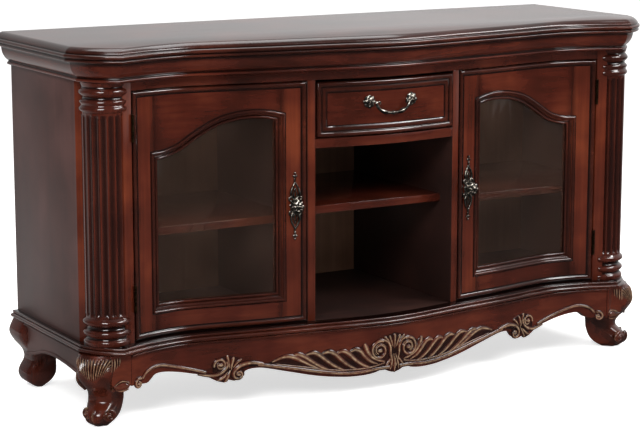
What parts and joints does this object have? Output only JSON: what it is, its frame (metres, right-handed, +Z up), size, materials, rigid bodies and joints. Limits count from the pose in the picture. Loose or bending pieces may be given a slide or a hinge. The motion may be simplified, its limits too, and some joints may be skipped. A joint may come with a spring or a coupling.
{
  "type": "tv stand",
  "caption": "Media cabinet with a serpentine front, arched glass doors, a drawer over an open shelved bay, fluted corner columns and carved scroll legs.",
  "frame": {"origin": "on the floor under the middle of the top", "axes": "+X along the width to the viewer's right, -Y out of the front, +Z up"},
  "size_m": [1.524, 0.527, 0.826],
  "materials": {
    "cherry": "gloss lacquer over red-brown cherry",
    "dark_cherry": "dark gloss lacquer",
    "carved_apron": "dark lacquer with gold rubbed on the carving",
    "interior_wood": "dark matt lacquer",
    "glass": "clear",
    "hardware": "antique pewter colour",
    "hinge_metal": "antique",
    "catch_plastic": "dark brown"
  },
  "bodies": {
    "carcass": {"top_board": "dark_cherry", "cornice_left": "cherry", "cornice_front": "cherry", "cornice_right": "cherry", "base_moulding_left": "dark_cherry", "base_moulding_front": "dark_cherry", "base_moulding_right": "dark_cherry", "side_panel_left": "cherry", "side_panel_right": "cherry", "corner_post_left": "cherry", "corner_post_right": "cherry", "column_left": "cherry", "column_right": "cherry", "deck_board": "interior_wood", "back_panel": "interior_wood", "partition_left": "cherry", "partition_right": "cherry", "top_rail": "cherry", "drawer_rail": "cherry", "shelf_left": "cherry", "shelf_right": "cherry", "shelf_centre": "cherry", "hinge_left_lower_frame_leaf": "hinge_metal", "hinge_left_upper_frame_leaf": "hinge_metal", "hinge_right_lower_frame_leaf": "hinge_metal", "hinge_right_upper_frame_leaf": "hinge_metal", "door_catch_left": "catch_plastic", "door_catch_right": "catch_plastic", "drawer_runner_left": "interior_wood", "drawer_runner_right": "interior_wood", "leg_front_left": "dark_cherry", "leg_front_right": "dark_cherry", "leg_rear_left": "dark_cherry", "leg_rear_right": "dark_cherry", "apron_front": "carved_apron", "apron_left": "dark_cherry", "apron_right": "dark_cherry"},
    "door_left": {"door_left_frame": "cherry", "door_left_glass": "glass", "door_left_glass_retainer": "dark_cherry", "door_left_pull_plate": "hardware", "door_left_knob": "hardware", "hinge_left_lower_door_leaf": "hinge_metal", "hinge_left_upper_door_leaf": "hinge_metal"},
    "door_right": {"door_right_frame": "cherry", "door_right_glass": "glass", "door_right_glass_retainer": "dark_cherry", "door_right_pull_plate": "hardware", "door_right_knob": "hardware", "hinge_right_lower_door_leaf": "hinge_metal", "hinge_right_upper_door_leaf": "hinge_metal"},
    "drawer": {"drawer_front": "cherry", "drawer_side_left": "interior_wood", "drawer_side_right": "interior_wood", "drawer_bottom": "interior_wood", "drawer_back": "interior_wood", "drawer_rosette_left": "hardware", "drawer_rosette_right": "hardware"},
    "bail": {"drawer_bail": "hardware"}
  },
  "joints": [
    {"name": "door_left_hinge", "type": "hinge", "parent": "carcass", "child": "door_left", "pos_m": [-0.6224, -0.16461, 0.461], "axis": [0, 0, -1], "range_deg": [0, 105]},
    {"name": "door_right_hinge", "type": "hinge", "parent": "carcass", "child": "door_right", "pos_m": [0.6224, -0.16461, 0.461], "axis": [0, 0, 1], "range_deg": [0, 105]},
    {"name": "drawer_slide", "type": "slide", "parent": "carcass", "child": "drawer", "axis": [0, -1, 0], "range_m": [0, 0.28]},
    {"name": "bail_hinge", "type": "hinge", "parent": "drawer", "child": "bail", "pos_m": [0, -0.22053, 0.673], "axis": [-1, 0, 0], "range_deg": [0, 80]}
  ]
}
